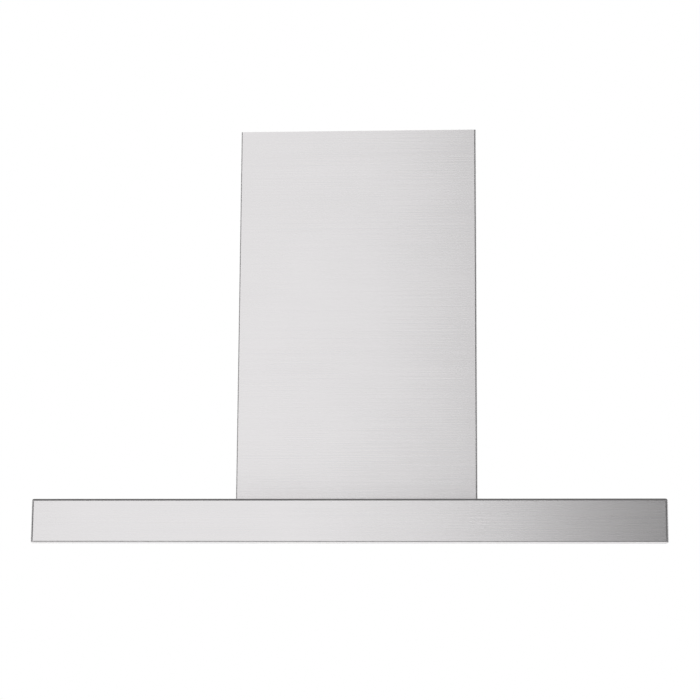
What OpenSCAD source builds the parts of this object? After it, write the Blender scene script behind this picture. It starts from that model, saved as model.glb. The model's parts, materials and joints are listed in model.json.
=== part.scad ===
// Island range hood. A flat canopy with three baffle filters hangs under a telescoping chimney, which
// hides the blower, its duct collar, the electronics and the frame that bolts to the ceiling.
// Millimetres, +Z up, front at -Y. The origin is the middle of the canopy's lower rim.

/* [Canopy] */
// Width of the canopy, side to side
canopy_w = 914; // [910:1:940]
// Depth of the canopy, front to back
canopy_d = 610; // [606:1:640]
// Height of the canopy's skirt
canopy_h = 63.5; // [62:0.5:70]
// Outer radius of the canopy's bends
bend_r = 4; // [3:0.5:4.5]
// Width of the return flange under the skirt
return_w = 22; // [20:1:24]

/* [Chimney] */
// Width of the lower chimney cover
chimney_w = 374; // [372:1:380]
// Depth of the lower chimney cover
chimney_d = 300; // [298:1:310]
// Height of the chimney above the canopy, with the covers nested
chimney_h = 584.5; // [580:0.5:600]
// Length of the upper cover
upper_len = 430; // [420:5:440]

/* [Filters] */
// Width of one filter
filter_w = 224; // [220:1:226]
// Length of one filter, front to back
filter_l = 400; // [390:1:404]
// Thickness of a filter
filter_t = 20; // [18:1:22]

/* [Blower and duct] */
// Outer radius of the duct collar
duct_r = 75; // [70:0.5:76]
// Outer radius of the impeller
wheel_r = 72; // [68:1:73]
// Half the length of the impeller
wheel_half = 50; // [44:1:51]
// Number of blades on each side of the impeller
blade_count = 36; // [24:1:44]

/* [Controls and lamps] */
// Radius of a push button
button_r = 7.5; // [6:0.5:8]
// Distance between neighbouring buttons
button_pitch = 30; // [26:1:32]
// Radius of a lamp's bezel
bezel_r = 32; // [30:1:34]

/* [Hidden] */
$fn = 64;
SIDES = ["left", "centre", "right"];
BUTTONS = ["button_light", "button_off", "button_speed_1", "button_speed_2", "button_speed_3"];

// Sheet thicknesses
skin_t = 1.2;
cover_t = 1;
frame_t = 1.5;
// Hairline between pieces that slide or lift
hair = 0.3;
// How far a cutter runs past the face that it cuts
past = 1;

// Nuts: their wall outside the thread, and their height
nut_wall = 1.8;
nut_h = 2.4;

// Motor box, which stands on the canopy's mouth
box_half = [145, 111];
box_t = 1;
box_flange = 12;

// Canopy and the panel set into its underside
top_z = canopy_h + chimney_h;
panel_z = 8;
panel_gap = 0.5;
panel_half = [canopy_w / 2 - return_w - panel_gap, canopy_d / 2 - return_w - panel_gap];
panel_lip = 14;
aperture_gap = 3;
strip_w = 12;
filter_pitch = filter_w + 2 * aperture_gap + strip_w;
filter_x = [-filter_pitch, 0, filter_pitch];
box_mouth = [box_half[0] - box_flange, box_half[1] - box_flange];
brace_y = 150;
brace_w = 40;
brace_flange = 8;
brace_deep = 18;
brace_t = 1.2;
panel_screw_in = return_w - 9;
panel_screw_x = [-330, -110, 110, 330];
panel_screw_y = [-140, 140];
panel_screw_at = concat(
    [for (x = panel_screw_x, y = [-1, 1]) [x, y * (canopy_d / 2 - panel_screw_in)]],
    [for (x = [-1, 1], y = panel_screw_y) [x * (canopy_w / 2 - panel_screw_in), y]]
);
panel_screw_head_r = 3.5;
panel_screw_r = 2;

// Lamps, one near each corner
lamp_x = 396;
lamp_y = 190;
lamp_at = [for (y = [-1, 1], x = [-1, 1]) [x * lamp_x, y * lamp_y]];
lamp_hole_r = bezel_r - 4.5;
bezel_lip_z = 5.8;
bezel_bore_r = 23;
bezel_tube_r = 27;
bezel_tube_z = 16;
lens_r = 25.5;
lens_z = [7.4, 9.4];
lamp_r = 25.4;
lamp_core_r = 16;
lamp_board_r = 8;
lamp_board_z = 11.5;
lamp_base_z = 14;
fin_z = [16 : 4 : 34];
fin_t = 1.5;
lamp_top_z = 36;

// Controls
control_y = -243;
control_half = [84, 17];
control_t = 2.5;
control_corner = 5;
control_ledge = 6;
switch_inset = 2;
switch_wall = 3;
switch_hollow_z = 17;
switch_top = 38;
button_at = [for (i = [-2 : 2]) i * button_pitch];
button_z = 3;
button_travel = 2;
button_collar = 1.5;
button_collar_t = 2;
stem_r = 3;

// Filter hinge pins and latch
pin_r = 2;
pin_y = filter_l / 2 - 6;
pin_z = panel_z + 6;
pin_reach = 7;
pin_play = 0.4;
ear_offset = aperture_gap + 2;
ear_half_t = 1.25;
ear_half = 7;
filter_sheet = 1;
lip_w = 12;
baffle_pitch = 34;
trough_w = 24;
trough_h = 7;
trough_t = 0.8;
baffle_gap = 1.4;
bolt_z = panel_z + 1.3;
bolt_t = 2;
bolt_half = 4.4;
bolt_reach = 2.5;
bolt_tail = 10;
bolt_play = [1, 0.2, 0.4];
tab_half = 7.5;
tab_y = [7, 9];
tab_slot = [9, 6, 16];
grip_z = 2.2;
grip_half = 40;
grip_t = 1.2;
grip_y = [2, 28, 32, 34];

// Chimney covers and the two frames, from the outside in
seam_tab = 12;
cover_r = 2.5;
cover_gap = 3;
lower_cover_half = [chimney_w / 2, chimney_d / 2];
lower_cover_z = [canopy_h + hair, top_z];
upper_cover_z = [top_z - upper_len, top_z];
seam_screw_y = 6.5;
seam_screw_z = [lower_cover_z[0] + 20, top_z - 20];
seam_screw_r = 1.4;
seam_head_r = 3.4;
seam_head_hole_r = 3.6;
upper_half = [chimney_w / 2 - cover_t - cover_gap, chimney_d / 2 - cover_t - cover_gap];
upright_gap = 5;
upright_half = [upper_half[0] - cover_t - upright_gap, upper_half[1] - cover_t - upright_gap];
upright_leg = 22;
nest_gap = 2;
lower_half = [upright_half[0] - nest_gap, upright_half[1] - nest_gap];
ring_t = 2;
ring_w = 28;
lower_top = top_z - 28;
upper_bottom = top_z - 448;
height_screw_z = lower_top - 20;
height_screw_y = upright_half[1] - upright_leg / 2;
height_screw_r = 2.9;
height_slot = [-372, 6];
height_slot_half = 3.3;
tie_h = 20;
tie_t = 2;
lower_tie_drop = 60;
upper_tie_t = 1.5;
upper_tie_rise = 4;
ring_screw_x = 80;
ring_screw_y = 60;
ring_hole_r = 2.5;
ring_screw_r = 2.3;
plate_t = 3;
plate_flange = 22;
flange_t = 2;
plate_duct_gap = 20;
plate_cable_r = 12;
cable_x = 113;
ceiling_hole = [140, 105];
ceiling_hole_r = 4.5;
cover_screw_y = 60;
cover_screw_z = top_z - 12;
cover_screw_r = 1.9;
cover_hole_r = 2.2;
vent_half = 55;
vent_h = 4;
vent_pitch = 10;
vent_z = top_z - 90;

// Blower
box_top = 300;
wheel_y = -14;
wheel_z = 175;
scroll_r0 = wheel_r + 6;
scroll_growth = 0.0835;
cutoff_a = 65;
scroll_half = wheel_half + 5;
scroll_t = 1;
tongue_z = wheel_z + scroll_r0 * sin(cutoff_a) - 0.4;
tongue_t = 1.5;
inlet_r = 60;
inlet_seat = 4;
motor_r = 36;
motor_x = [7, 10, 58];
motor_end = 64;
motor_step = 6;
motor_cap = 4;
arm_half = 7;
arm_t = 2;
arm_root = motor_r - 8;
foot_r = inlet_r + 12;
shaft_r = 4;
shaft_x = [-18, motor_end + 6];
shaft_fit = 0.02;
shaft_play = 0.3;
disc_half = 1;
hub_r = 10;
hub_x = [-14, 5];
cage_w = 12;
cage_ring_t = 1;
blade_steps = 4;
blade_inset = 0.6;
blade_lean = 16;
blade_a = 0.7;

// Duct collar and its flaps
collar_z = 345;
collar_top = 400;
duct_t = 1.5;
collar_flange = 5;
collar_flange_t = 2;
funnel_t = 2;
funnel_flange = 10;
funnel_flange_t = 1.5;
damper_z = 374;
axle_r = 2;
axle_play = 0.1;
flap_r = duct_r - duct_t - 1;
flap_t = 1;
flap_start = 4;
knuckle_r = 3.4;
knuckle_play = 0.3;
knuckle_pitch = 24;
knuckle_gap = 2;
knuckle_web = 5;

// Electronics beside the outlet
electronics_low = [84, -70, box_top];
electronics_high = [142, 70, collar_z - 2];
electronics_t = 1.5;
board_gap = 3;
board_z = box_top + 5;
board_t = 1.6;
transformer = [34, 32, 26];
transformer_at = [90, -60];
relay = [12, 20, 15];
relay_at = [[92, -16], [92, 10]];
capacitor_at = [125, 48];
capacitor_r = 12;
capacitor_h = 28;
lid_hole_r = 8;
gland_r = [7.8, 11, 9];
gland_h = [-6, 5, 16];
cable_bore_r = 4.5;

// A block between two opposite corners.
module block(low, high) {
    translate(low)
        cube(high - low);
}

// A rectangle with round corners, centred on the origin.
module round_rect(w, d, r) {
    square([w - 2 * r, d], center = true);
    square([w, d - 2 * r], center = true);
    for (x = [-1, 1], y = [-1, 1])
        translate([x * (w / 2 - r), y * (d / 2 - r)])
            circle(r);
}

// A round bar along X.
module bar_x(x0, x1, r) {
    translate([x0, 0, 0])
        rotate([0, 90, 0])
            cylinder(r = r, h = x1 - x0);
}

// A round bar along Z.
module bar_z(z0, z1, r) {
    translate([0, 0, z0])
        cylinder(r = r, h = z1 - z0);
}

// A 2D outline in Y and Z, extruded along X.
module extrude_x(x0, x1) {
    translate([x0, 0, 0])
        rotate([90, 0, 90])
            linear_extrude(x1 - x0)
                children();
}

// A 2D outline in X and Z, extruded along Y.
module extrude_y(y0, y1) {
    translate([0, y1, 0])
        rotate([90, 0, 0])
            linear_extrude(y1 - y0)
                children();
}

// A screw along +Z with its head below the plane z = 0.
module screw(head_r, head_h, shank_r, length, nut_z = 0) {
    bar_z(-head_h, 0, head_r);
    bar_z(0, length, shank_r);
    if (nut_z > 0)
        translate([0, 0, nut_z])
            cylinder(r = shank_r + nut_wall, h = nut_h, $fn = 6);
}

// Front, side and plan outlines meet, so every outer edge is a bend of the same radius.
module canopy_form() {
    intersection() {
        linear_extrude(canopy_h)
            round_rect(canopy_w, canopy_d, bend_r);
        extrude_y(-canopy_d / 2, canopy_d / 2)
            translate([0, canopy_h / 2])
                round_rect(canopy_w, canopy_h, bend_r);
        extrude_x(-canopy_w / 2, canopy_w / 2)
            translate([0, canopy_h / 2])
                round_rect(canopy_d, canopy_h, bend_r);
    }
}

module canopy_shell() {
    rim = [canopy_w / 2 - return_w, canopy_d / 2 - return_w];
    color("silver")
        difference() {
            canopy_form();
            translate([0, 0, skin_t])
                linear_extrude(canopy_h - 2 * skin_t)
                    square([canopy_w - 2 * skin_t, canopy_d - 2 * skin_t], center = true);
            block([-rim[0], -rim[1], -past], [rim[0], rim[1], skin_t + past]);
            block(
                [-box_mouth[0], -box_mouth[1], canopy_h - skin_t - past],
                [box_mouth[0], box_mouth[1], canopy_h + past]
            );
            for (p = panel_screw_at)
                translate(p)
                    bar_z(-past, skin_t + past, panel_screw_head_r + 0.2);
            for (p = ring_screw_at())
                translate(p)
                    bar_z(canopy_h - skin_t - past, canopy_h + past, ring_hole_r);
        }
}

// A shallow tray that hangs in the canopy's rim and holds the filters, lamps and buttons.
module underside_panel() {
    out = [panel_half[0] + skin_t, panel_half[1] + skin_t];
    lip = [out[0] + panel_lip, out[1] + panel_lip];
    opening = [filter_w / 2 + aperture_gap, filter_l / 2 + aperture_gap];
    window = [control_half[0] - control_ledge, control_half[1] - control_ledge];
    color("silver") {
        difference() {
            union() {
                block([-out[0], -out[1], skin_t], [out[0], out[1], panel_z + skin_t]);
                block([-lip[0], -lip[1], skin_t], [lip[0], lip[1], 2 * skin_t]);
            }
            block([-panel_half[0], -panel_half[1], 0], [panel_half[0], panel_half[1], panel_z]);
            for (x = filter_x)
                translate([x, 0, 0])
                    block([-opening[0], -opening[1], 0], [opening[0], opening[1], 2 * panel_z]);
            for (p = lamp_at)
                translate(p)
                    bar_z(0, 2 * panel_z, lamp_hole_r);
            translate([0, control_y, 0])
                block([-window[0], -window[1], 0], [window[0], window[1], 2 * panel_z]);
            for (p = panel_screw_at)
                translate(p)
                    bar_z(0, 2 * panel_z, panel_screw_r + 0.2);
        }
        for (x = filter_x, s = [-1, 1])
            translate([x + s * (filter_w / 2 + ear_offset), pin_y, 0])
                pivot_plate();
    }
}

// An upright ear with the hole that a filter's hinge pin turns in.
module pivot_plate() {
    difference() {
        block([-ear_half_t, -ear_half, panel_z + skin_t], [ear_half_t, ear_half, pin_z + ear_half]);
        translate([0, 0, pin_z])
            bar_x(-past - ear_half_t, past + ear_half_t, pin_r + pin_play);
    }
}

// A hat channel's section, which hangs from z = 0 with its crown below.
module hat_section() {
    half = brace_w / 2;
    web = half - brace_flange;
    difference() {
        translate([-half, -brace_deep])
            square([brace_w, brace_deep]);
        translate([-web + brace_t, -brace_deep + brace_t])
            square([2 * (web - brace_t), brace_deep]);
        for (x = [-half - past, web])
            translate([x, -brace_deep - past])
                square([brace_flange + past, brace_deep + past - 0.2]);
    }
}

// Two hat channels stiffen the canopy's top sheet.
module canopy_braces() {
    reach = canopy_w / 2 - 20;
    color("gainsboro")
        for (y = [-1, 1])
            translate([0, y * brace_y, canopy_h - skin_t])
                extrude_x(-reach, reach)
                    hat_section();
}

module panel_screws() {
    color("dimgray")
        for (p = panel_screw_at)
            translate([p[0], p[1], skin_t])
                screw(panel_screw_head_r, 1, panel_screw_r, 4.6, skin_t);
}

module control_plate() {
    color("black")
        difference() {
            translate([0, control_y, panel_z - control_t])
                linear_extrude(control_t)
                    round_rect(2 * control_half[0], 2 * control_half[1], control_corner);
            for (x = button_at)
                translate([x, control_y, 0])
                    bar_z(0, 2 * panel_z, button_r + hair);
        }
}

module switch_block() {
    out = [control_half[0] - switch_inset, control_half[1] - switch_inset];
    in = [out[0] - switch_wall, out[1] - switch_wall];
    color("ivory")
        translate([0, control_y, 0])
            difference() {
                block([-out[0], -out[1], panel_z + skin_t], [out[0], out[1], switch_top]);
                block([-in[0], -in[1], 0], [in[0], in[1], switch_hollow_z]);
            }
}

// A cap, a collar that stops it falling out of the plate, and the stem that works the switch.
module push_button(i) {
    color("silver")
        translate([button_at[i], control_y, 0]) {
            bar_z(button_z, panel_z + hair, button_r);
            bar_z(panel_z + hair, panel_z + hair + button_collar_t, button_r + button_collar);
            bar_z(panel_z + hair + button_collar_t, switch_hollow_z - button_travel - hair, stem_r);
        }
}

module lamp_bezel(i) {
    color("silver")
        translate(lamp_at[i - 1])
            rotate_extrude()
                polygon([
                    [bezel_bore_r, bezel_lip_z], [bezel_r - 1, bezel_lip_z],
                    [bezel_r, bezel_lip_z + 1], [bezel_r, panel_z],
                    [bezel_tube_r, panel_z], [bezel_tube_r, bezel_tube_z],
                    [bezel_tube_r - 1.2, bezel_tube_z], [bezel_tube_r - 1.2, lens_z[0] - 0.2],
                    [bezel_bore_r, lens_z[0] - 0.2]
                ]);
}

module lamp_lenses() {
    color("white")
        for (p = lamp_at)
            translate(p)
                bar_z(lens_z[0], lens_z[1], lens_r);
}

// Each lamp's finned heat sink, with the board that carries its light source.
module lamp_bodies() {
    color("gray")
        for (p = lamp_at)
            translate(p) {
                bar_z(lamp_board_z, lamp_base_z, lamp_board_r);
                bar_z(lamp_base_z, bezel_tube_z, lamp_r);
                bar_z(bezel_tube_z, lamp_top_z, lamp_core_r);
                for (z = fin_z)
                    bar_z(z, z + fin_t, lamp_r);
            }
}

module in_filter(i) {
    translate([filter_x[i], 0, 0])
        children();
}

// A channel frame, open towards the middle, with two hinge pins at the back and a latch slot in front.
module filter_frame(i) {
    w = filter_w / 2;
    l = filter_l / 2;
    e = filter_sheet;
    top = panel_z + filter_t;
    slot = bolt_half + bolt_play[0];
    color("lightgray")
        in_filter(i)
            union() {
                difference() {
                    block([-w, -l, panel_z], [w, l, top]);
                    block([-w + e, -l + e, panel_z + e], [w - e, l - e, top - e]);
                    block([-w + lip_w, -l + lip_w, 0], [w - lip_w, l - lip_w, top + past]);
                    block(
                        [-slot, -l - past, bolt_z - bolt_play[1]],
                        [slot, -l + e + past, bolt_z + bolt_t + bolt_play[2]]
                    );
                    block(
                        [-tab_slot[0], -l + tab_slot[1], 0],
                        [tab_slot[0], -l + lip_w + past, panel_z + e + past]
                    );
                }
                for (s = [0, 1])
                    mirror([s, 0, 0])
                        translate([0, pin_y, pin_z])
                            bar_x(w - e / 2, w + pin_reach, pin_r);
            }
}

// Two staggered rows of troughs. Grease strikes the upper row and drains along the lower one.
module filter_baffles(i) {
    half = filter_l / 2 - baffle_gap;
    color("lightgray")
        in_filter(i) {
            for (n = [-2.5 : 2.5])
                extrude_y(-half, half)
                    translate([n * baffle_pitch, panel_z + baffle_gap])
                        trough();
            for (n = [-2 : 2])
                extrude_y(-half, half)
                    translate([n * baffle_pitch, panel_z + filter_t - baffle_gap])
                        mirror([0, 1])
                            trough();
        }
}

module trough() {
    difference() {
        translate([-trough_w / 2, 0])
            square([trough_w, trough_h]);
        translate([-trough_w / 2 + trough_t, trough_t])
            square([trough_w - 2 * trough_t, trough_h]);
    }
}

// The plate under the front rail, turned down at its edge for the fingers.
module filter_handle(i) {
    y = [for (v = grip_y) v - filter_l / 2];
    slot_y = [for (v = tab_slot) v - filter_l / 2];
    color("gray")
        in_filter(i)
            difference() {
                union() {
                    block([-grip_half, y[0], panel_z - grip_t], [grip_half, y[3], panel_z]);
                    block([-grip_half, y[2], grip_z], [grip_half, y[3], panel_z]);
                    block([-grip_half, y[1], grip_z], [grip_half, y[3], grip_z + grip_t]);
                }
                block([-tab_slot[0], slot_y[1], 0], [tab_slot[0], slot_y[2], panel_z + past]);
            }
}

// The bolt that reaches towards the panel's edge, with its finger tab.
module filter_latch(i) {
    front = -filter_l / 2;
    color("dimgray")
        in_filter(i) {
            block(
                [-bolt_half, front - bolt_reach, bolt_z],
                [bolt_half, front + bolt_tail, bolt_z + bolt_t]
            );
            block([-tab_half, front + tab_y[0], grip_z + 2 * hair], [tab_half, front + tab_y[1], bolt_z]);
        }
}

// The closed box around the blower, open underneath to the canopy.
module motor_box() {
    out = box_half;
    in = [out[0] - box_t, out[1] - box_t];
    color("gainsboro")
        difference() {
            block([-out[0], -out[1], canopy_h], [out[0], out[1], box_top]);
            block([-in[0], -in[1], canopy_h + box_t], [in[0], in[1], box_top - box_t]);
            block(
                [-box_mouth[0], -box_mouth[1], canopy_h - past],
                [box_mouth[0], box_mouth[1], canopy_h + past + box_t]
            );
            block(
                [-scroll_half, outlet_y(0), box_top - box_t - past],
                [scroll_half, outlet_y(1), box_top + past]
            );
        }
}

// Inner radius of the scroll's wall at angle a, measured from +Y towards +Z.
function scroll_r(a) = scroll_r0 * exp((a - cutoff_a) * PI / 180 * scroll_growth);

// Where the outlet starts and ends, front to back.
function outlet_y(end) = wheel_y + (end == 0 ? scroll_r0 * cos(cutoff_a) : scroll_r(360));

// The space inside the scroll, grown by e: a spiral round the wheel that ends in the outlet.
module scroll_outline(e, top) {
    spiral = [
        for (a = [cutoff_a : 5 : 360])
            [wheel_y + (scroll_r(a) + e) * cos(a), wheel_z + (scroll_r(a) + e) * sin(a)]
    ];
    polygon(concat([[outlet_y(0) - e, top]], spiral, [[outlet_y(1) + e, top]]));
}

module scroll_band() {
    top = box_top - box_t;
    color("darkgray")
        extrude_x(-scroll_half, scroll_half)
            union() {
                difference() {
                    scroll_outline(scroll_t, top);
                    scroll_outline(0, top + past);
                }
                translate([outlet_y(0) - scroll_t, tongue_z])
                    square([tongue_t, top - tongue_z]);
            }
}

// A side plate of the scroll, with a rolled inlet ring. side is -1 on the left and 1 on the right.
module scroll_cheek(side) {
    x0 = side > 0 ? scroll_half : -scroll_half - scroll_t;
    color("darkgray")
        union() {
            difference() {
                extrude_x(x0, x0 + scroll_t)
                    scroll_outline(scroll_t, box_top - box_t);
                at_wheel()
                    bar_x(x0 - past, x0 + scroll_t + past, inlet_r + inlet_seat);
            }
            translate([side * scroll_half, wheel_y, wheel_z])
                rotate([0, side * 90, 0])
                    rotate_extrude()
                        inlet_section();
        }
}

// The inlet ring's section: a throat that flares out to the cheek.
module inlet_section() {
    rim = inlet_seat + 0.5;
    polygon([
        [inlet_r, -3], [inlet_r + 1, -3], [inlet_r + 1.4, -0.5],
        [inlet_r + rim, 0], [inlet_r + rim, scroll_t], [inlet_r + 1, 0.6]
    ]);
}

module at_wheel() {
    translate([0, wheel_y, wheel_z])
        children();
}

// The motor hangs inside the right half of the wheel.
module motor_body() {
    color("dimgray")
        at_wheel()
            difference() {
                union() {
                    bar_x(motor_x[0], motor_x[1], motor_r - motor_step);
                    bar_x(motor_x[1], motor_x[2], motor_r);
                    bar_x(motor_x[2], motor_end, motor_r - motor_cap);
                }
                bar_x(0, motor_end + past, shaft_r + shaft_play);
            }
}

// Three arms from the motor's end to the right cheek.
module motor_bracket() {
    out = motor_end + arm_t;
    foot_x = scroll_half + scroll_t;
    color("silver")
        at_wheel() {
            difference() {
                bar_x(motor_end, out, motor_r - motor_cap);
                bar_x(motor_end - past, out + past, shaft_r + 2);
            }
            for (a = [90, 210, 330])
                rotate([a, 0, 0]) {
                    block([motor_end, arm_root, -arm_half], [out, foot_r, arm_half]);
                    block([foot_x, foot_r - arm_t, -arm_half], [motor_end, foot_r, arm_half]);
                }
        }
}

module impeller_disc() {
    color("white")
        at_wheel()
            difference() {
                union() {
                    bar_x(-disc_half, disc_half, wheel_r);
                    bar_x(hub_x[0], hub_x[1], hub_r);
                }
                bar_x(hub_x[0] - past, hub_x[1] + past, shaft_r + shaft_fit);
            }
}

// A forward-curved blade in section, between the inner and outer radius of the cage.
module blade() {
    inner = wheel_r - cage_w + blade_inset;
    depth = cage_w - 2 * blade_inset;
    edge = [
        for (s = [0 : blade_steps])
            [inner + depth * s / blade_steps, blade_lean * pow(s / blade_steps, 2)]
    ];
    polygon(concat(
        [for (p = edge) [p[0] * cos(p[1]), p[0] * sin(p[1])]],
        [
            for (s = [blade_steps : -1 : 0])
                [edge[s][0] * cos(edge[s][1] + blade_a), edge[s][0] * sin(edge[s][1] + blade_a)]
        ]
    ));
}

// Both rows of blades, each held by an end ring.
module impeller_cage() {
    color("white")
        at_wheel()
            for (s = [-1, 1]) {
                blades_x = [disc_half, wheel_half - cage_ring_t];
                ring_x = [wheel_half - cage_ring_t, wheel_half];
                extrude_x(min(s * blades_x), max(s * blades_x))
                    for (n = [0 : blade_count - 1])
                        rotate(n * 360 / blade_count)
                            blade();
                extrude_x(min(s * ring_x), max(s * ring_x))
                    difference() {
                        circle(wheel_r);
                        circle(wheel_r - cage_w);
                    }
            }
}

module motor_shaft() {
    color("lightgray")
        at_wheel()
            bar_x(shaft_x[0], shaft_x[1], shaft_r);
}

// A funnel from the scroll's square mouth to the round collar.
module outlet_transition() {
    color("black")
        difference() {
            union() {
                funnel(funnel_t, 0);
                block(
                    [-scroll_half - funnel_flange, outlet_y(0) - funnel_flange, box_top],
                    [scroll_half + funnel_flange, box_half[1] - 1, box_top + funnel_flange_t]
                );
            }
            funnel(0, past);
        }
}

// The funnel's form, with its sides moved out by wall and its ends by over.
module funnel(wall, over) {
    hull() {
        block(
            [-scroll_half - wall, outlet_y(0) - wall, box_top - over],
            [scroll_half + wall, outlet_y(1) + wall, box_top + funnel_t]
        );
        bar_z(collar_z - funnel_t, collar_z + over, duct_r - funnel_t + wall - hair);
    }
}

// The spigot that the duct slides over.
module outlet_collar() {
    color("black")
        difference() {
            rotate_extrude()
                polygon([
                    [duct_r - duct_t, collar_z], [duct_r + collar_flange, collar_z],
                    [duct_r + collar_flange, collar_z + collar_flange_t],
                    [duct_r, collar_z + collar_flange_t],
                    [duct_r, collar_top], [duct_r - duct_t, collar_top]
                ]);
            translate([0, 0, damper_z])
                bar_x(-duct_r + duct_t - past, duct_r - duct_t + past, axle_r);
        }
}

module damper_axle() {
    color("silver")
        translate([0, 0, damper_z])
            bar_x(-duct_r + duct_t + axle_play, duct_r - duct_t - axle_play, axle_r);
}

// Half a disc with its own knuckles on the axle. side is -1 at the front and 1 at the rear.
module damper_flap(side) {
    first = side < 0 ? -2.5 : -1.5;
    half_t = flap_t / 2;
    plate_y = side < 0 ? [-flap_r, -flap_start] : [flap_start, flap_r];
    web_y = side < 0 ? [-knuckle_web, 0] : [0, knuckle_web];
    length = knuckle_pitch - knuckle_gap;
    color("gray")
        translate([0, 0, damper_z])
            difference() {
                union() {
                    intersection() {
                        bar_z(-half_t, half_t, flap_r);
                        block([-flap_r, plate_y[0], -flap_t], [flap_r, plate_y[1], flap_t]);
                    }
                    for (n = [0 : 1])
                        translate([(first + 2 * n) * knuckle_pitch + knuckle_gap / 2, 0, 0]) {
                            bar_x(0, length, knuckle_r);
                            block([0, web_y[0], -half_t], [length, web_y[1], half_t]);
                        }
                }
                bar_x(-flap_r, flap_r, axle_r + knuckle_play);
            }
}

module electronics_box() {
    low = electronics_low;
    high = electronics_high;
    color("black")
        difference() {
            block(low, high);
            block(low + electronics_t * [1, 1, 1], high + [-electronics_t, -electronics_t, past]);
        }
}

module electronics_lid() {
    low = [electronics_low[0], electronics_low[1], electronics_high[2]];
    color("black")
        difference() {
            block(low, electronics_high + [0, 0, electronics_t]);
            translate([cable_x, 0, 0])
                bar_z(low[2] - past, low[2] + electronics_t + past, lid_hole_r);
        }
}

// The board, a transformer, two relays and the motor's run capacitor.
module circuit_board() {
    low = [electronics_low[0] + board_gap, electronics_low[1] + board_gap, board_z];
    top = board_z + board_t;
    color("darkgreen") {
        block(low, [electronics_high[0] - board_gap, electronics_high[1] - board_gap, top]);
        translate([transformer_at[0], transformer_at[1], top])
            cube(transformer);
        for (p = relay_at)
            translate([p[0], p[1], top])
                cube(relay);
        translate(capacitor_at)
            bar_z(top, top + capacitor_h, capacitor_r);
    }
}

// The gland that grips the mains lead.
module cable_gland() {
    color("black")
        translate([cable_x, 0, electronics_high[2] + electronics_t])
            difference() {
                union() {
                    bar_z(gland_h[0], 0, gland_r[0]);
                    cylinder(r = gland_r[1], h = gland_h[1], $fn = 6);
                    bar_z(gland_h[1], gland_h[2], gland_r[2]);
                }
                bar_z(gland_h[0] - past, gland_h[2] + past, cable_bore_r);
            }
}

// Places of the screws that hold the ring to the canopy.
function ring_screw_at() = concat(
    [for (x = [-1, 1], y = [-1, 1]) [x * (lower_half[0] - ring_w / 2), y * ring_screw_y]],
    [for (x = [-1, 1], y = [-1, 1]) [x * ring_screw_x, y * (lower_half[1] - ring_w / 2 + 1)]]
);

module frame_base_ring() {
    out = lower_half;
    in = [box_half[0] + hair, box_half[1] + hair];
    color("gainsboro")
        difference() {
            block([-out[0], -out[1], canopy_h], [out[0], out[1], canopy_h + ring_t]);
            block([-in[0], -in[1], 0], [in[0], in[1], 2 * canopy_h]);
            for (p = ring_screw_at())
                translate(p)
                    bar_z(canopy_h - past, canopy_h + ring_t + past, ring_hole_r);
        }
}

// One angle with its outer corner at the given half sizes. sx and sy pick the corner.
module upright(half, sx, sy, z0, z1) {
    x = [half[0] - frame_t, half[0] - upright_leg];
    y = [half[1] - frame_t, half[1] - upright_leg];
    mirror([sx < 0 ? 1 : 0, 0, 0])
        mirror([0, sy < 0 ? 1 : 0, 0]) {
            block([x[0], y[1], z0], [half[0], half[1], z1]);
            block([x[1], y[0], z0], [half[0], half[1], z1]);
        }
}

module lower_uprights() {
    color("gainsboro")
        for (sx = [-1, 1], sy = [-1, 1])
            difference() {
                upright(lower_half, sx, sy, canopy_h + ring_t, lower_top);
                translate([0, sy * height_screw_y, height_screw_z])
                    bar_x(min(0, sx * chimney_w), max(0, sx * chimney_w), height_screw_r + 0.1);
            }
}

// Flat bars that tie the four lower angles together near their top.
module lower_braces() {
    x = lower_half[0] - frame_t;
    y = lower_half[1] - frame_t;
    z = lower_top - lower_tie_drop;
    color("gainsboro")
        for (s = [0, 1]) {
            mirror([s, 0, 0])
                block([x - tie_t, -y + tie_t, z], [x, y - tie_t, z + tie_h]);
            mirror([0, s, 0])
                block([-x + tie_t, y - tie_t, z], [x - tie_t, y, z + tie_h]);
        }
}

// Four screws set the chimney's height, and eight hold the ring to the canopy.
module frame_screws() {
    color("dimgray") {
        for (sx = [-1, 1], sy = [-1, 1])
            translate([sx * (upright_half[0] + hair), sy * height_screw_y, height_screw_z])
                rotate([0, sx * -90, 0])
                    screw(5, 2.6, height_screw_r, 8, nest_gap + frame_t + hair);
        for (p = ring_screw_at())
            translate([p[0], p[1], canopy_h + ring_t])
                rotate([180, 0, 0])
                    screw(4, 2.4, ring_screw_r, 6);
    }
}

module ceiling_plate() {
    x = upper_half[0] - cover_t;
    y = upper_half[1] - cover_t;
    color("gainsboro")
        difference() {
            translate([0, 0, top_z - plate_flange])
                linear_extrude(plate_flange)
                    round_rect(2 * x, 2 * y, cover_r);
            block(
                [-x + flange_t, -y + flange_t, top_z - plate_flange - past],
                [x - flange_t, y - flange_t, top_z - plate_t]
            );
            bar_z(top_z - plate_t - past, top_z + past, duct_r + plate_duct_gap);
            translate([cable_x, 0, 0])
                bar_z(top_z - plate_t - past, top_z + past, plate_cable_r);
            for (sx = [-1, 1], sy = [-1, 1])
                translate([sx * ceiling_hole[0], sy * ceiling_hole[1], 0])
                    bar_z(top_z - plate_t - past, top_z + past, ceiling_hole_r);
            upper_screw_holes();
        }
}

// The screws through each side of the upper cover into the ceiling plate's flange.
module upper_screw_holes() {
    for (sy = [-1, 1])
        translate([0, sy * cover_screw_y, cover_screw_z])
            bar_x(-chimney_w / 2, chimney_w / 2, cover_hole_r);
}

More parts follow.
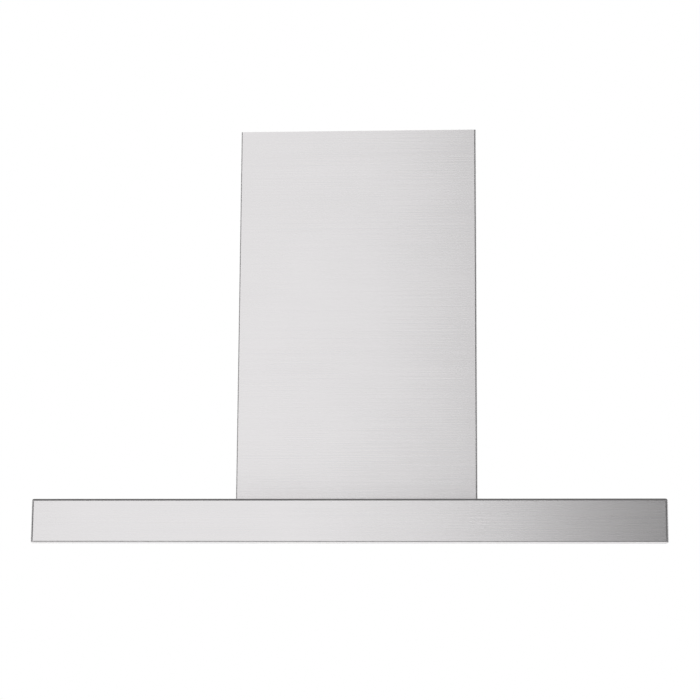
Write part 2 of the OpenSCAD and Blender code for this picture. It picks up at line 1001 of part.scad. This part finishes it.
module upper_uprights() {
    slot = [for (v = height_slot) height_screw_z + v];
    color("gainsboro")
        for (sx = [-1, 1], sy = [-1, 1])
            difference() {
                upright(upright_half, sx, sy, upper_bottom, top_z - plate_t);
                translate([sx * (upright_half[0] - frame_t / 2), sy * height_screw_y, 0])
                    block([-frame_t, -height_slot_half, slot[0]], [frame_t, height_slot_half, slot[1]]);
            }
}

module upper_braces() {
    x = upright_half[0];
    y = upright_half[1];
    z = upper_bottom + upper_tie_rise;
    color("gainsboro")
        for (s = [0, 1]) {
            mirror([s, 0, 0])
                block([x, -y, z], [x + upper_tie_t, y, z + tie_h]);
            mirror([0, s, 0])
                block([-x, y, z], [x, y + upper_tie_t, z + tie_h]);
        }
}

// One half of a cover: a rounded sleeve cut at the seam on its sides. side is -1 in front, 1 behind.
module half_cover(half, side, z0, z1) {
    inner = [half[0] - cover_t, half[1] - cover_t];
    translate([0, 0, z0])
        linear_extrude(z1 - z0)
            difference() {
                round_rect(2 * half[0], 2 * half[1], cover_r);
                round_rect(2 * inner[0], 2 * inner[1], cover_r - cover_t);
                translate([-half[0] - past, side < 0 ? 0 : -half[1] - past])
                    square([2 * half[0] + 2 * past, half[1] + past + (side < 0 ? 0 : hair)]);
            }
}

// The front half's strips behind the seams.
module seam_strips(half, z0, z1) {
    for (s = [-1, 1])
        translate([s * (half[0] - 1.5 * cover_t), 0, 0])
            block([-cover_t / 2, -seam_tab, z0], [cover_t / 2, seam_tab, z1]);
}

// Holes for the seam screws: through the strips, and wide enough for the flush heads in the outer sheet.
module lower_screw_holes(r) {
    for (z = seam_screw_z)
        translate([0, seam_screw_y, z])
            bar_x(-chimney_w, chimney_w, r);
}

module lower_cover_front() {
    color("silver")
        difference() {
            union() {
                half_cover(lower_cover_half, -1, lower_cover_z[0], lower_cover_z[1]);
                seam_strips(lower_cover_half, lower_cover_z[0], lower_cover_z[1]);
            }
            lower_screw_holes(seam_screw_r + 0.1);
        }
}

module lower_cover_rear() {
    color("silver")
        difference() {
            half_cover(lower_cover_half, 1, lower_cover_z[0], lower_cover_z[1]);
            lower_screw_holes(seam_head_hole_r);
        }
}

module lower_cover_screws() {
    color("dimgray")
        for (z = seam_screw_z, s = [-1, 1])
            translate([s * (chimney_w / 2 - cover_t), seam_screw_y, z])
                rotate([0, -s * 90, 0])
                    screw(seam_head_r, cover_t, seam_screw_r, 1.6);
}

// Slots near the top let the air out when the hood recirculates.
module vent_slots() {
    for (n = [0 : 5])
        translate([0, 0, vent_z + n * vent_pitch])
            block([-chimney_w, -vent_half, 0], [chimney_w, vent_half, vent_h]);
}

module upper_cover_front() {
    color("silver")
        difference() {
            half_cover(upper_half, -1, upper_cover_z[0], upper_cover_z[1]);
            vent_slots();
            upper_screw_holes();
        }
}

module upper_cover_rear() {
    color("silver")
        difference() {
            half_cover(upper_half, 1, upper_cover_z[0], upper_cover_z[1]);
            vent_slots();
            upper_screw_holes();
        }
}

module upper_cover_screws() {
    color("dimgray")
        for (sx = [-1, 1], sy = [-1, 1])
            translate([sx * upper_half[0], sy * cover_screw_y, cover_screw_z])
                rotate([0, sx * -90, 0])
                    screw(4, 2, cover_screw_r, 5);
}

canopy_shell();
underside_panel();
canopy_braces();
panel_screws();
control_plate();
switch_block();
for (i = [0 : 4]) {
    push_button(i);
}
for (i = [1 : 4]) {
    lamp_bezel(i);
}
lamp_lenses();
lamp_bodies();
for (i = [0 : 2]) {
    filter_frame(i);
    filter_baffles(i);
    filter_handle(i);
    filter_latch(i);
}
motor_box();
scroll_band();
scroll_cheek(-1);  // scroll_cheek_left
scroll_cheek(1);  // scroll_cheek_right
motor_body();
motor_bracket();
impeller_disc();
impeller_cage();
motor_shaft();
outlet_transition();
outlet_collar();
damper_axle();
damper_flap(-1);  // damper_flap_front
damper_flap(1);  // damper_flap_rear
electronics_box();
electronics_lid();
circuit_board();
cable_gland();
frame_base_ring();
lower_uprights();
lower_braces();
frame_screws();
ceiling_plate();
upper_uprights();
upper_braces();
upper_cover_front();
upper_cover_rear();
upper_cover_screws();
lower_cover_front();
lower_cover_rear();
lower_cover_screws();
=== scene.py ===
import json
import math

import bpy
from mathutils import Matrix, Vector


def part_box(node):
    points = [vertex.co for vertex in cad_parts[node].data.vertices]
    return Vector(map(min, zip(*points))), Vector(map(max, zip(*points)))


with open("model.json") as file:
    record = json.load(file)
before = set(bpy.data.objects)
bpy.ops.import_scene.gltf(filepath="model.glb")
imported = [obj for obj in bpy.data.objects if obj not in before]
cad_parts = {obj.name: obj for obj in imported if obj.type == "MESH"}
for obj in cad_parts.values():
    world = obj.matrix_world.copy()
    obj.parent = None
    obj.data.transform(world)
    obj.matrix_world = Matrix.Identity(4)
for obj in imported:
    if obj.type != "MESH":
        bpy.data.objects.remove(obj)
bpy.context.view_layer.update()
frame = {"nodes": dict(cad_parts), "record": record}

# Camera, fitted to the outline of the canopy and chimney in the picture
CAMERA_AT = (0.185, -2.294, 0.0367)
CAMERA_YAW_DEG = 2.31
CAMERA_PITCH_DEG = 6.89
SENSOR_MM = 36.0
LENS_MM = 71.28
CAMERA_SHIFT_X = -0.10

# Studio. The floor glows so that it looks white. It is small and far below, so that the canopy's
# lower edge mirrors little of it.
FLOOR_Z = -1.6
FLOOR_HALF = 1.3
FLOOR_GLOW = 0.74
WHITE = (1.0, 1.0, 1.0, 1.0)
BACKGROUND = 1.0
AMBIENT = 0.17

# Soft panels. The right edge of the key panel gives the front its fall-off towards the right.
PANELS = {
    "key_panel": dict(
        centre=(-1.42, -5.0, 0.9), target=(-1.42, 0.0, 0.9), width=4.0, height=7.0, radiance=0.89
    ),
    "right_panel": dict(
        centre=(4.4, 1.6, 0.4), target=(0.0, 0.2, 0.4), width=3.6, height=5.6, radiance=0.80
    ),
    "back_panel": dict(
        centre=(-1.4, 4.6, 0.4), target=(0.0, 0.0, 0.4), width=4.2, height=5.6, radiance=0.85
    ),
    "left_panel": dict(
        centre=(-4.4, 1.4, 0.4), target=(0.0, 0.2, 0.4), width=3.2, height=5.6, radiance=0.75
    ),
}


# ---------------------------------------------------------------- node graph helpers

# Noise textures rarely leave this part of the range from 0 to 1
NOISE = (0.3, 0.7)
# A face lies along an axis when that part of its unit normal is larger than this
FACING_LIMIT = 0.7
# Where a Mix node keeps its two inputs and its output for each kind of data
MIX_SOCKETS = {"VECTOR": (4, 5, 1), "RGBA": (6, 7, 2)}
MICRON = 1e-6


class Graph:
    """A material's node tree, with one method for each kind of node that the looks below use.

    The shader's plain colour and roughness are set first, and most looks link a pattern over them.
    Scales are features per metre.
    """

    def __init__(self, name, base, metallic, roughness):
        self.material = bpy.data.materials.new(name)
        self.material.use_nodes = True
        self.tree = self.material.node_tree
        self.shader = self.tree.nodes["Principled BSDF"]
        self.set("Base Color", (*base, 1.0))
        self.set("Metallic", metallic)
        self.set("Roughness", roughness)
        self.position = self.add("ShaderNodeTexCoord").outputs["Object"]

    def add(self, kind):
        return self.tree.nodes.new(kind)

    def set(self, socket, value):
        self.shader.inputs[socket].default_value = value

    def link(self, source, target):
        self.tree.links.new(source, target)

    def plug(self, source, socket):
        self.link(source, self.shader.inputs[socket])

    def feed(self, socket, value):
        if isinstance(value, bpy.types.NodeSocket):
            self.link(value, socket)
        else:
            socket.default_value = value

    def math(self, operation, a, b=0.0):
        node = self.add("ShaderNodeMath")
        node.operation = operation
        self.feed(node.inputs[0], a)
        self.feed(node.inputs[1], b)
        return node.outputs[0]

    def blend(self, a, b, share):
        """A weighted sum: share of a, and the rest of b."""
        return self.math("ADD", self.math("MULTIPLY", a, share), self.math("MULTIPLY", b, 1.0 - share))

    def vector_math(self, operation, a, b):
        node = self.add("ShaderNodeVectorMath")
        node.operation = operation
        self.feed(node.inputs[0], a)
        self.feed(node.inputs[1], b)
        return node.outputs["Vector"]

    def length(self, vector):
        node = self.add("ShaderNodeVectorMath")
        node.operation = "LENGTH"
        self.link(vector, node.inputs[0])
        return node.outputs["Value"]

    def axes(self, vector):
        node = self.add("ShaderNodeSeparateXYZ")
        self.link(vector, node.inputs[0])
        return node.outputs

    def combine(self, x, y, z):
        node = self.add("ShaderNodeCombineXYZ")
        for socket, value in zip(node.inputs, (x, y, z)):
            self.feed(socket, value)
        return node.outputs[0]

    def stretch(self, factors):
        return self.vector_math("MULTIPLY", self.position, factors)

    def noise(self, vector, scale=1.0, detail=3.0, rough=0.5):
        node = self.add("ShaderNodeTexNoise")
        self.link(vector, node.inputs["Vector"])
        node.inputs["Scale"].default_value = scale
        node.inputs["Detail"].default_value = detail
        node.inputs["Roughness"].default_value = rough
        return node.outputs["Fac"]

    def cells(self, vector, scale, output="Distance"):
        node = self.add("ShaderNodeTexVoronoi")
        self.link(vector, node.inputs["Vector"])
        node.inputs["Scale"].default_value = scale
        return node.outputs[output]

    def span(self, value, low, high, source=(0.0, 1.0)):
        """The value carried from its source range to the range from low to high, and held there."""
        node = self.add("ShaderNodeMapRange")
        self.link(value, node.inputs["Value"])
        node.inputs["From Min"].default_value, node.inputs["From Max"].default_value = source
        node.inputs["To Min"].default_value = low
        node.inputs["To Max"].default_value = high
        return node.outputs["Result"]

    def mix(self, kind, factor, a, b):
        first, second, result = MIX_SOCKETS[kind]
        node = self.add("ShaderNodeMix")
        node.data_type = kind
        self.link(factor, node.inputs[0])
        self.feed(node.inputs[first], a)
        self.feed(node.inputs[second], b)
        return node.outputs[result]

    def mix_vector(self, factor, a, b):
        return self.mix("VECTOR", factor, a, b)

    def mix_color(self, factor, a, b):
        """Each of a and b is another node's colour, or red, green and blue."""
        ends = [end if isinstance(end, bpy.types.NodeSocket) else (*end, 1.0) for end in (a, b)]
        return self.mix("RGBA", factor, *ends)

    def tint(self, factor, base, low, high):
        """The base colour times low where the factor is 0 and times high where it is 1."""
        dark = [c * low for c in base]
        light = [min(1.0, c * high) for c in base]
        self.plug(self.mix_color(factor, dark, light), "Base Color")

    def gloss(self, value, low, high, source=NOISE):
        """Roughness that follows a pattern."""
        self.plug(self.span(value, low, high, source), "Roughness")

    def bump(self, height, microns):
        node = self.add("ShaderNodeBump")
        node.inputs["Distance"].default_value = microns * MICRON
        self.link(height, node.inputs["Height"])
        self.plug(node.outputs["Normal"], "Normal")

    def facing(self, axis):
        """1 where the surface's true normal lies along an axis, 0 elsewhere."""
        normal = self.add("ShaderNodeNewGeometry").outputs["True Normal"]
        part = self.math("ABSOLUTE", self.axes(normal)["XYZ".index(axis)])
        return self.math("GREATER_THAN", part, FACING_LIMIT)


# ---------------------------------------------------------------- metals

STAINLESS = (0.780, 0.765, 0.772)
# Brushing: features per metre along it and across it, and the broad streaks' part of the latter.
# Then the share of fine streaks in the mix, and what brushing and wiping do to the gloss.
STREAK_ALONG = 5.0
STREAK_ACROSS = 1700.0
STREAK_COARSE = 0.28
FINE_SHARE = 0.6
BRUSHED_ROUGHNESS_SWING = 0.03
BRUSHED_ANISOTROPY = 0.35
WIPE_SCALE = 3.5
WIPE_ROUGHNESS = 0.018


def brushed_streaks(graph, coarse=1.0):
    """Long thin streaks: level on upright faces, and from side to side on flat ones."""
    level = (STREAK_ALONG, STREAK_ALONG, STREAK_ACROSS * coarse)
    flat = (STREAK_ALONG, STREAK_ACROSS * coarse, STREAK_ALONG)
    scale = graph.mix_vector(graph.facing("Z"), level, flat)
    return graph.noise(graph.stretch(scale), detail=2.0, rough=0.6)


def smudges(graph, scale, low, high):
    """Broad soft patches, as from wiping."""
    return graph.span(graph.noise(graph.position, scale, detail=4.0, rough=0.55), low, high, NOISE)


def brushed_steel(name, base=STAINLESS, roughness=0.27, contrast=0.014, grain_microns=12):
    """Sheet steel with streaks in its tone, its gloss and its relief, and with wiping marks."""
    graph = Graph(name, base, 1.0, roughness)
    fine = brushed_streaks(graph)
    broad = brushed_streaks(graph, STREAK_COARSE)
    streaks = graph.blend(fine, broad, FINE_SHARE)
    graph.tint(graph.span(streaks, 0.0, 1.0, NOISE), base, 1.0 - contrast, 1.0 + contrast)
    wiped = smudges(graph, WIPE_SCALE, -WIPE_ROUGHNESS, WIPE_ROUGHNESS)
    swing = BRUSHED_ROUGHNESS_SWING
    streaky = graph.span(streaks, roughness - swing, roughness + swing, NOISE)
    graph.plug(graph.math("ADD", streaky, wiped), "Roughness")
    tangent = graph.mix_vector(graph.facing("X"), (1.0, 0.0, 0.0), (0.0, 1.0, 0.0))
    graph.plug(tangent, "Tangent")
    graph.set("Anisotropic", BRUSHED_ANISOTROPY)
    graph.bump(streaks, grain_microns)
    return graph.material


def chimney_steel():
    return brushed_steel("chimney_steel")


def canopy_steel():
    return brushed_steel("canopy_steel")


def panel_steel():
    """The underside's sheet, duller and more coarsely brushed."""
    base = (0.72, 0.715, 0.705)
    return brushed_steel("panel_steel", base, roughness=0.33, contrast=0.035, grain_microns=15)


def filter_steel():
    """Bright rolled steel with draw lines along each trough and a thin uneven film."""
    base = (0.76, 0.755, 0.745)
    graph = Graph("filter_steel", base, 1.0, 0.26)
    lines = graph.noise(graph.stretch((1500.0, 6.0, 1500.0)), detail=2.0, rough=0.6)
    film = smudges(graph, scale=9.0, low=0.0, high=0.09)
    graph.tint(graph.span(lines, 0.0, 1.0, NOISE), base, low=0.94, high=1.04)
    rough = graph.math("ADD", graph.span(lines, 0.20, 0.26, NOISE), film)
    graph.plug(rough, "Roughness")
    graph.bump(lines, microns=10)
    return graph.material


def galvanised_steel():
    """Zinc with its crystals, each a slightly different grey and gloss."""
    base = (0.56, 0.575, 0.585)
    graph = Graph("galvanised_steel", base, 1.0, 0.42)
    warp = graph.noise(graph.position, scale=60.0, detail=3.0)
    shift = graph.vector_math("MULTIPLY", graph.combine(warp, warp, warp), (0.006, 0.006, 0.006))
    bent = graph.vector_math("ADD", graph.position, shift)
    crystal = graph.axes(graph.cells(bent, scale=110.0, output="Color"))[0]
    dust = graph.noise(graph.position, scale=14.0, detail=5.0, rough=0.6)
    graph.tint(graph.blend(crystal, dust, share=0.75), base, low=0.78, high=1.16)
    graph.gloss(crystal, low=0.34, high=0.52, source=(0.0, 1.0))
    graph.bump(crystal, microns=30)
    return graph.material


def spun_metal(name, base, pitch, roughness):
    """Turned metal: fine rings about the upright axis through the node's middle."""
    graph = Graph("spun_" + name, base, 1.0, roughness)
    offset = graph.vector_math("SUBTRACT", graph.position, tuple(centre_of(name)))
    radius = graph.length(graph.vector_math("MULTIPLY", offset, (1.0, 1.0, 0.0)))
    rings = graph.noise(graph.combine(graph.math("DIVIDE", radius, pitch), 0.0, 0.0), detail=2.0)
    wear = graph.noise(graph.position, scale=300.0, detail=4.0)
    graph.tint(rings, base, low=0.90, high=1.08)
    turned = graph.span(rings, roughness - 0.05, roughness + 0.05, NOISE)
    worn = graph.span(wear, -0.03, 0.03, NOISE)
    graph.plug(graph.math("ADD", turned, worn), "Roughness")
    graph.bump(rings, microns=10)
    return graph.material


def screw_steel():
    """Bright plated steel with tiny tool marks."""
    base = (0.62, 0.62, 0.63)
    graph = Graph("screw_steel", base, 1.0, 0.24)
    marks = graph.noise(graph.stretch((900.0, 900.0, 2500.0)), detail=4.0)
    graph.tint(marks, base, low=0.80, high=1.12)
    graph.gloss(marks, low=0.16, high=0.36)
    graph.bump(marks, microns=20)
    return graph.material


def shaft_steel():
    """Ground steel: fine rings along the shaft."""
    base = (0.68, 0.68, 0.69)
    graph = Graph("shaft_steel", base, 1.0, 0.2)
    rings = graph.noise(graph.stretch((4000.0, 20.0, 20.0)), detail=2.0)
    graph.tint(rings, base, low=0.90, high=1.06)
    graph.gloss(rings, low=0.14, high=0.28)
    graph.bump(rings, microns=8)
    return graph.material


def latch_steel():
    """Blasted steel, rubbed bright by use."""
    base = (0.40, 0.40, 0.41)
    graph = Graph("latch_steel", base, 1.0, 0.38)
    blast = graph.noise(graph.position, scale=2600.0, detail=3.0)
    rub = graph.noise(graph.position, scale=220.0, detail=3.0)
    graph.tint(rub, base, low=0.85, high=1.3)
    graph.gloss(rub, low=0.46, high=0.26, source=(0.35, 0.65))
    graph.bump(blast, microns=20)
    return graph.material


def cast_aluminium():
    """Die-cast aluminium with a faint pebbled skin."""
    base = (0.56, 0.565, 0.57)
    graph = Graph("cast_aluminium", base, 1.0, 0.45)
    skin = graph.noise(graph.position, scale=900.0, detail=4.0)
    cloud = graph.noise(graph.position, scale=60.0, detail=3.0)
    graph.tint(cloud, base, low=0.86, high=1.1)
    graph.gloss(skin, low=0.38, high=0.56)
    graph.bump(skin, microns=50)
    return graph.material


# ---------------------------------------------------------------- plastics, paint and lens


def moulded_plastic(name, base, roughness, texture_scale, texture_microns):
    """Moulded plastic with spark-eroded texture and slightly uneven gloss."""
    graph = Graph(name, base, 0.0, roughness)
    texture = graph.cells(graph.position, texture_scale)
    flow = graph.noise(graph.position, scale=26.0, detail=4.0, rough=0.6)
    graph.tint(flow, base, low=0.88, high=1.14)
    pitted = graph.span(texture, -0.05, 0.05)
    uneven = graph.span(flow, roughness - 0.05, roughness + 0.05, NOISE)
    graph.plug(graph.math("ADD", pitted, uneven), "Roughness")
    graph.bump(texture, texture_microns)
    return graph.material


def motor_paint():
    """Sprayed enamel with an orange-peel surface."""
    base = (0.06, 0.062, 0.068)
    graph = Graph("motor_paint", base, 0.0, 0.34)
    peel = graph.noise(graph.position, scale=420.0, detail=2.0)
    dust = graph.noise(graph.position, scale=45.0, detail=5.0, rough=0.65)
    graph.tint(dust, base, low=0.8, high=1.5)
    graph.gloss(dust, low=0.28, high=0.48, source=(0.35, 0.7))
    graph.set("Coat Weight", 0.3)
    graph.set("Coat Roughness", 0.15)
    graph.bump(peel, microns=80)
    return graph.material


def lens_glass():
    """A frosted lens with a fine pattern of lenslets."""
    base = (0.93, 0.935, 0.92)
    graph = Graph("lens_glass", base, 0.0, 0.32)
    lenslets = graph.cells(graph.position, scale=480.0)
    frost = graph.noise(graph.position, scale=1500.0, detail=3.0)
    graph.tint(lenslets, base, low=0.96, high=1.05)
    graph.gloss(frost, low=0.26, high=0.42)
    graph.set("Transmission Weight", 0.12)
    graph.set("IOR", 1.49)
    graph.set("Coat Weight", 0.5)
    graph.set("Coat Roughness", 0.12)
    graph.bump(lenslets, microns=300)
    return graph.material


# The circuit board: how far above its underside its parts begin, its tracks, and its parts' tones
PARTS_ABOVE = 0.0017
TRACK_RUN, TRACK_STEP = 90.0, 700.0
TRACK_LEVEL = 0.60
LACQUER = (0.02, 0.13, 0.05)
TRACK_GREEN = (0.10, 0.30, 0.12)
DARK_PART, PALE_PART = (0.03, 0.03, 0.035), (0.34, 0.33, 0.28)
PARTS_PER_METRE = (28.0, 24.0, 0.0)


def circuit_materials():
    """A lacquered board with tracks under its lacquer, and parts in dark and pale tones on top of it."""
    low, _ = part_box("circuit_board")
    graph = Graph("circuit_board", LACQUER, 0.0, 0.3)
    along = graph.noise(graph.stretch((TRACK_RUN, TRACK_STEP, 1.0)), detail=0.0)
    across = graph.noise(graph.stretch((TRACK_STEP, TRACK_RUN, 1.0)), detail=0.0)
    tracks = graph.math("GREATER_THAN", graph.math("MAXIMUM", along, across), TRACK_LEVEL)
    board = graph.mix_color(tracks, LACQUER, TRACK_GREEN)
    part_tone = graph.cells(graph.stretch(PARTS_PER_METRE), scale=1.0, output="Color")
    part = graph.mix_color(graph.axes(part_tone)[0], DARK_PART, PALE_PART)
    above = graph.math("GREATER_THAN", graph.axes(graph.position)[2], low.z + PARTS_ABOVE)
    graph.plug(graph.mix_color(above, board, part), "Base Color")
    graph.gloss(graph.noise(graph.position, scale=300.0, detail=3.0), low=0.22, high=0.46)
    graph.bump(tracks, microns=40)
    return graph.material


# ---------------------------------------------------------------- dressing the CAD nodes


def dress(names, material):
    for name in names:
        mesh = frame["nodes"][name].data
        mesh.materials.clear()
        mesh.materials.append(material)


def nodes_of(slot):
    return [entry["node"] for entry in frame["record"]["subparts"] if entry["material_slot"] == slot]


def centre_of(name):
    low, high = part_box(name)
    return (low + high) / 2


def dress_frame():
    looks = {
        "stainless_shell": canopy_steel,
        "stainless_panel": panel_steel,
        "stainless_filter": filter_steel,
        "stainless_chimney": chimney_steel,
        "galvanised_steel": galvanised_steel,
        "screw_steel": screw_steel,
        "lamp_lens": lens_glass,
        "lamp_body": cast_aluminium,
        "motor_paint": motor_paint,
        "shaft_steel": shaft_steel,
        "latch_steel": latch_steel,
        "board": circuit_materials,
    }
    # Colour, roughness, and the scale and depth of the moulded texture
    plastics = {
        "black_plastic": ((0.018, 0.018, 0.020), 0.42, 1100.0, 50),
        "white_plastic": ((0.74, 0.735, 0.70), 0.40, 1300.0, 30),
        "wheel_plastic": ((0.30, 0.31, 0.32), 0.46, 900.0, 40),
        "damper_plastic": ((0.06, 0.06, 0.065), 0.50, 900.0, 50),
    }
    # Colour, pitch of the rings and roughness
    turned = {
        "button_metal": ((0.58, 0.58, 0.59), 0.00022, 0.30),
        "lamp_trim": ((0.74, 0.735, 0.73), 0.00035, 0.26),
    }
    for slot, look in looks.items():
        dress(nodes_of(slot), look())
    for slot, finish in plastics.items():
        dress(nodes_of(slot), moulded_plastic(slot, *finish))
    for slot, finish in turned.items():
        for name in nodes_of(slot):
            dress([name], spun_metal(name, *finish))


# ---------------------------------------------------------------- studio


def pale_floor():
    base = (0.90, 0.90, 0.90)
    graph = Graph("pale_floor", base, 0.0, 0.85)
    fleck = graph.noise(graph.position, scale=40.0, detail=4.0)
    graph.tint(fleck, base, low=0.985, high=1.015)
    graph.set("Emission Color", WHITE)
    graph.set("Emission Strength", FLOOR_GLOW)
    signs = ((-1, -1), (1, -1), (1, 1), (-1, 1))
    corners = [(x * FLOOR_HALF, y * FLOOR_HALF, FLOOR_Z) for x, y in signs]
    mesh = bpy.data.meshes.new("studio_floor")
    mesh.from_pydata(corners, [], [(0, 1, 2, 3)])
    mesh.materials.append(graph.material)
    floor = bpy.data.objects.new("studio_floor", mesh)
    bpy.context.scene.collection.objects.link(floor)


def soft_world():
    """White where the camera looks past the hood, and a dim even grey as light."""
    world = bpy.data.worlds.new("studio")
    bpy.context.scene.world = world
    world.use_nodes = True
    tree = world.node_tree
    shade = tree.nodes["Background"]
    shade.inputs["Color"].default_value = WHITE
    path = tree.nodes.new("ShaderNodeLightPath")
    level = tree.nodes.new("ShaderNodeMapRange")
    level.inputs["To Min"].default_value = AMBIENT
    level.inputs["To Max"].default_value = BACKGROUND
    tree.links.new(path.outputs["Is Camera Ray"], level.inputs["Value"])
    tree.links.new(level.outputs["Result"], shade.inputs["Strength"])


def softbox(name, centre, target, width, height, radiance):
    """An evenly lit panel that faces the target. Its power follows from its area and its brightness."""
    light = bpy.data.lights.new(name, "AREA")
    light.shape = "RECTANGLE"
    light.size = width
    light.size_y = height
    light.energy = radiance * math.pi * width * height
    panel = bpy.data.objects.new(name, light)
    panel.location = centre
    panel.rotation_euler = (Vector(target) - Vector(centre)).to_track_quat("-Z", "Y").to_euler()
    panel.visible_camera = False
    bpy.context.scene.collection.objects.link(panel)


def studio():
    soft_world()
    pale_floor()
    for name, panel in PANELS.items():
        softbox(name, **panel)


def camera():
    lens = bpy.data.cameras.new("camera")
    lens.sensor_width = SENSOR_MM
    lens.lens = LENS_MM
    lens.shift_x = CAMERA_SHIFT_X
    eye = bpy.data.objects.new("camera", lens)
    eye.location = CAMERA_AT
    eye.rotation_euler = (math.radians(90.0 + CAMERA_PITCH_DEG), 0.0, math.radians(CAMERA_YAW_DEG))
    bpy.context.scene.collection.objects.link(eye)
    bpy.context.scene.camera = eye


bpy.context.scene.view_settings.view_transform = "Standard"
camera()
studio()
dress_frame()
